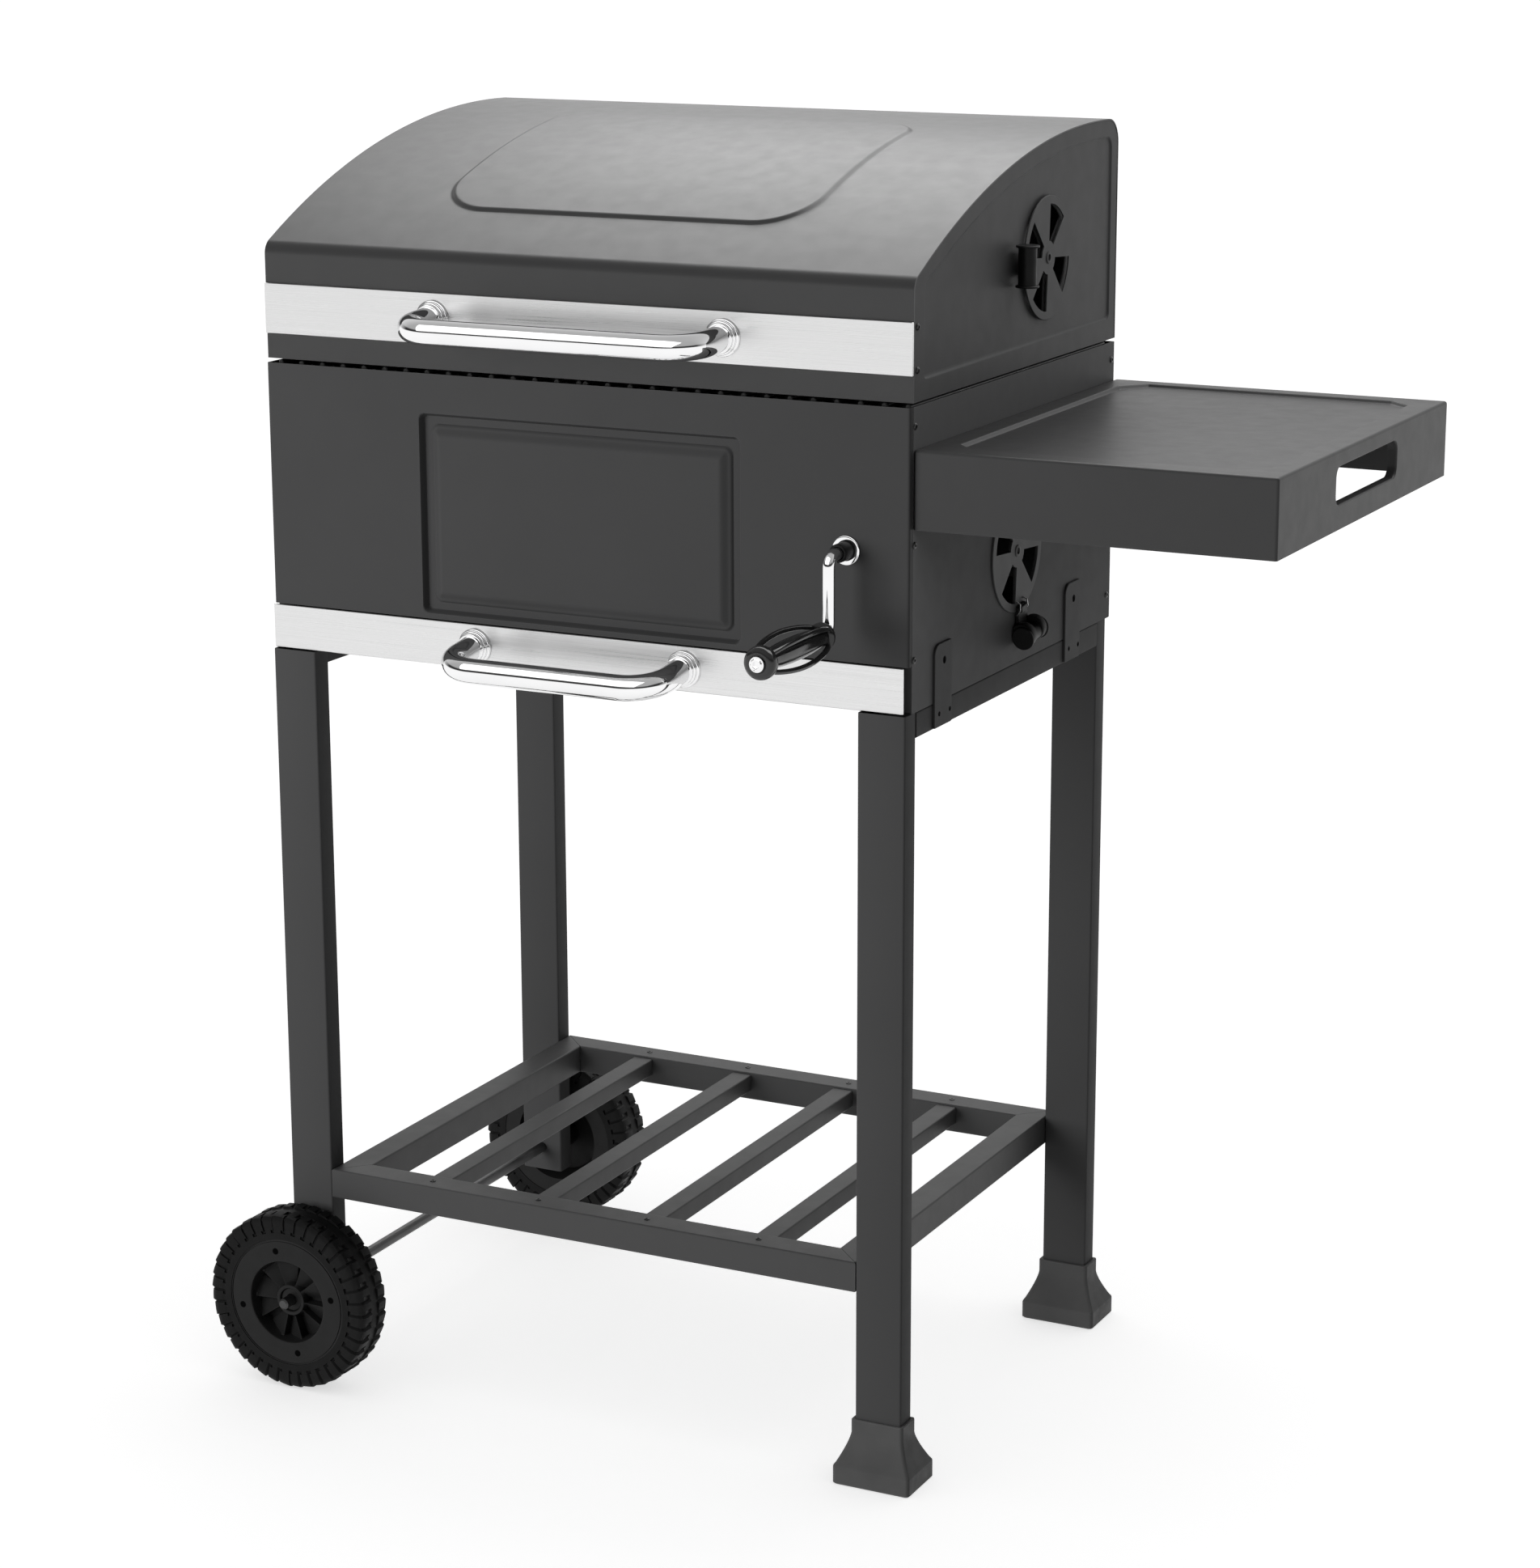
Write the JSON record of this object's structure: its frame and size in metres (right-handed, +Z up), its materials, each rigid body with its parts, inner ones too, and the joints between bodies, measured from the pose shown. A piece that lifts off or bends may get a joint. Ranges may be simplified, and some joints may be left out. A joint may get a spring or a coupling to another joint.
{
  "type": "charcoal trolley grill",
  "caption": "Charcoal grill on a wheeled stand with a hinged lid, side table, ash drawer, crank-raised charcoal pan, turning air dampers and a slatted lower shelf.",
  "frame": {"origin": "bottom centre of the bounding box, on the ground", "axes": "+Z up, +X towards the side table, -Y towards the cook (lid handle and crank)"},
  "size_m": [0.9618, 0.6388, 1.1066],
  "materials": {
    "firebox_paint": "satin heat-resistant paint, dark charcoal",
    "stand_paint": "satin powder coat, charcoal",
    "table_paint": "satin powder coat, charcoal",
    "enamel": "black vitreous enamel",
    "stainless": "brushed along its length",
    "chrome": "mirror polished",
    "zinc": "zinc plated",
    "black_plastic": "moulded, fine texture",
    "gloss_plastic": "moulded, polished"
  },
  "bodies": {
    "stand": {"firebox_front_panel": "firebox_paint", "firebox_back_panel": "firebox_paint", "firebox_left_panel": "firebox_paint", "firebox_right_panel": "firebox_paint", "bracket_front_left": "firebox_paint", "bracket_back_left": "firebox_paint", "bracket_front_right": "firebox_paint", "bracket_back_right": "firebox_paint", "leg_front_left": "stand_paint", "leg_back_left": "stand_paint", "leg_front_right": "stand_paint", "leg_back_right": "stand_paint", "side_rail_left": "stand_paint", "side_rail_right": "stand_paint", "shelf_rail_front": "stand_paint", "shelf_rail_right": "stand_paint", "shelf_rail_back": "stand_paint", "shelf_rail_left": "stand_paint", "shelf_slat_1": "stand_paint", "shelf_slat_2": "stand_paint", "shelf_slat_3": "stand_paint", "shelf_slat_4": "stand_paint", "side_table": "table_paint", "cooking_grate_left": "enamel", "cooking_grate_right": "enamel", "crank_ring": "chrome", "axle": "zinc", "axle_nut_front": "zinc", "axle_nut_back": "zinc", "drawer_runner_left": "zinc", "drawer_runner_right": "zinc", "hinge_leaf_left": "zinc", "hinge_leaf_right": "zinc", "lift_guide_rod": "zinc", "foot_front_right": "black_plastic", "foot_back_right": "black_plastic", "crank_bush": "black_plastic"},
    "lid": {"lid_shell": "firebox_paint", "lid_end_left": "firebox_paint", "lid_end_right": "firebox_paint", "lid_trim_strip": "stainless", "lid_handle": "chrome", "lid_hinge_arm_left": "zinc", "lid_hinge_arm_right": "zinc"},
    "lid_damper": {"lid_damper_disc": "firebox_paint", "lid_damper_grip": "black_plastic"},
    "firebox_damper": {"firebox_damper_disc": "firebox_paint", "firebox_damper_grip": "black_plastic"},
    "ash_drawer": {"ash_drawer": "enamel", "drawer_trim_strip": "stainless", "drawer_handle": "chrome"},
    "crank": {"crank_rod": "chrome", "grip_bolt": "chrome"},
    "crank_grip": {"crank_grip": "gloss_plastic"},
    "lift_carriage": {"lift_carriage": "zinc"},
    "charcoal_pan": {"charcoal_pan": "enamel"},
    "wheel_front": {"wheel_front_tyre": "black_plastic", "wheel_front_rim": "black_plastic"},
    "wheel_back": {"wheel_back_tyre": "black_plastic", "wheel_back_rim": "black_plastic"}
  },
  "joints": [
    {"name": "lid_hinge", "type": "hinge", "parent": "stand", "child": "lid", "pos_m": [-0.12095, 0.28005, 0.913], "axis": [-1, 0, 0], "range_deg": [0, 85]},
    {"name": "lid_damper_turn", "type": "hinge", "parent": "lid", "child": "lid_damper", "pos_m": [0.18005, 0.11335, 1.0011], "axis": [1, 0, 0], "range_deg": [0, 45]},
    {"name": "firebox_damper_turn", "type": "hinge", "parent": "stand", "child": "firebox_damper", "pos_m": [0.17905, 0.05755, 0.7615], "axis": [1, 0, 0], "range_deg": [0, 45]},
    {"name": "ash_drawer_slide", "type": "slide", "parent": "stand", "child": "ash_drawer", "axis": [0, -1, 0], "range_m": [0, 0.3]},
    {"name": "crank_turn", "type": "hinge", "parent": "stand", "child": "crank", "pos_m": [0.12405, 0.05755, 0.7943], "axis": [0, 1, 0], "range_deg": [0, 2160]},
    {"name": "crank_grip_spin", "type": "hinge", "parent": "crank", "child": "crank_grip", "pos_m": [0.12405, -0.24245, 0.7328], "axis": [0, 1, 0], "continuous": true},
    {"name": "lift_carriage_slide", "type": "slide", "parent": "stand", "child": "lift_carriage", "axis": [0, 1, 0], "range_m": [0, 0.06]},
    {"name": "charcoal_pan_lift", "type": "slide", "parent": "stand", "child": "charcoal_pan", "axis": [0, 0, 1], "range_m": [0, 0.06]},
    {"name": "wheel_front_spin", "type": "hinge", "parent": "stand", "child": "wheel_front", "pos_m": [-0.39945, -0.19095, 0.0814], "axis": [0, 1, 0], "continuous": true},
    {"name": "wheel_back_spin", "type": "hinge", "parent": "stand", "child": "wheel_back", "pos_m": [-0.39945, 0.29355, 0.0814], "axis": [0, 1, 0], "continuous": true}
  ],
  "couplings": [
    {"joint": "lift_carriage_slide", "follows": "crank_turn", "m_per_rad": 0.0015915},
    {"joint": "charcoal_pan_lift", "follows": "crank_turn", "m_per_rad": 0.0015915}
  ]
}
